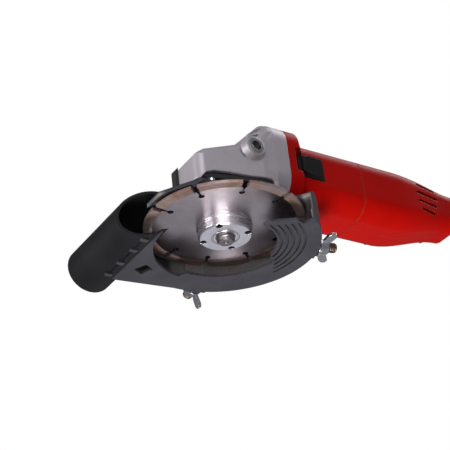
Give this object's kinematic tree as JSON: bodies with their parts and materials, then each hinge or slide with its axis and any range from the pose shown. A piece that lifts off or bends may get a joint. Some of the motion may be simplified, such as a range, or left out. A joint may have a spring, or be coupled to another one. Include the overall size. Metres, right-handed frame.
{
  "type": "wall chaser",
  "caption": "Hand-held wall chaser: an angle grinder with a segmented diamond blade under a dust-extraction shroud with an oblique-mouthed dust tube.",
  "frame": {"origin": "centre of the exposed spindle end, on the spindle axis, 12 mm outside the exposed face of the blade", "axes": "+Z along the spindle from the blade to the gear case, +X along the motor axis to the rear handle, -Y to the wall side where the blade is exposed"},
  "size_m": [0.3145, 0.1612, 0.1153],
  "materials": {
    "red_housing": "gloss",
    "cast_alloy": "satin",
    "black_plastic": "matte",
    "shroud_plastic": "matte",
    "steel": "satin",
    "dark_steel": "satin",
    "zinc": "gloss",
    "blade_steel": "satin",
    "diamond_segment": "rough",
    "copper": "satin",
    "lamination": "satin",
    "bushing_bronze": "satin",
    "rubber": "matte",
    "carbon": "matte"
  },
  "bodies": {
    "grinder_body": {"gear_case": "cast_alloy", "handle_inserts": "steel", "gear_case_screws": "zinc", "bearing_flange": "cast_alloy", "lower_bearing": "steel", "bearing_retainer": "steel", "upper_bushing": "bushing_bronze", "flange_screws": "zinc", "nose_pad": "rubber", "motor_housing": "red_housing", "handle_shell_left": "red_housing", "handle_shell_right": "red_housing", "handle_screws": "dark_steel", "cord_inlet_gland": "rubber", "front_motor_bearing": "steel", "rear_motor_bearing": "steel", "air_baffle": "black_plastic", "field_laminations": "lamination", "field_coils": "copper", "carbon_brushes": "carbon", "brush_holders": "bushing_bronze", "brush_springs": "steel", "rear_bearing_carrier": "black_plastic", "switch_block": "black_plastic", "suppression_capacitor": "black_plastic", "spindle_lock_spring": "steel"},
    "spindle_assembly": {"spindle": "dark_steel", "crown_gear": "steel", "inner_flange": "zinc", "lock_nut": "zinc", "blade_core": "blade_steel", "blade_segments": "diamond_segment"},
    "armature": {"armature_shaft": "steel", "pinion": "steel", "armature_core": "lamination", "armature_windings": "copper", "commutator": "copper", "cooling_fan": "black_plastic"},
    "switch": {"switch_slider": "black_plastic", "switch_rod": "black_plastic"},
    "lock_button": {"spindle_lock_button": "black_plastic"},
    "shroud": {"shroud_cover": "shroud_plastic", "shroud_back": "shroud_plastic", "shroud_collar": "cast_alloy", "dust_tube": "black_plastic", "snap_lugs": "shroud_plastic", "clamp_band": "steel", "clamp_bolt": "dark_steel", "clamp_nut": "zinc", "shroud_studs": "dark_steel", "stud_washers": "zinc"},
    "wing_nut_a": {"wing_nut_side": "zinc"},
    "wing_nut_b": {"wing_nut_rear": "zinc"}
  },
  "joints": [
    {"name": "spindle_spin", "type": "hinge", "parent": "grinder_body", "child": "spindle_assembly", "pos_m": [0, 0, 0], "axis": [0, 0, 1], "continuous": true},
    {"name": "armature_spin", "type": "hinge", "parent": "grinder_body", "child": "armature", "pos_m": [0.08, 0, 0.0645], "axis": [1, 0, 0], "continuous": true},
    {"name": "switch_slide", "type": "slide", "parent": "grinder_body", "child": "switch", "axis": [-1, 0, 0], "range_m": [0, 0.006]},
    {"name": "lock_button_press", "type": "slide", "parent": "grinder_body", "child": "lock_button", "axis": [0, 0, -1], "range_m": [0, 0.0035], "stiffness_N_per_m": 600, "springref_m": -0.003, "deforming": ["spindle_lock_spring"]},
    {"name": "shroud_turn", "type": "hinge", "parent": "grinder_body", "child": "shroud", "pos_m": [0, 0, 0.022], "axis": [0, 0, 1], "range_deg": [-40, 40]},
    {"name": "wing_nut_side_turn", "type": "hinge", "parent": "shroud", "child": "wing_nut_a", "pos_m": [0.07534, -0.02019, -0.001], "axis": [0.9659, -0.2588, 0], "continuous": true},
    {"name": "wing_nut_rear_turn", "type": "hinge", "parent": "shroud", "child": "wing_nut_b", "pos_m": [0.01488, 0.07657, -0.001], "axis": [0.1908, 0.9816, 0], "continuous": true}
  ],
  "couplings": [
    {"joint": "armature_spin", "follows": "spindle_spin", "ratio": 3.4545}
  ]
}
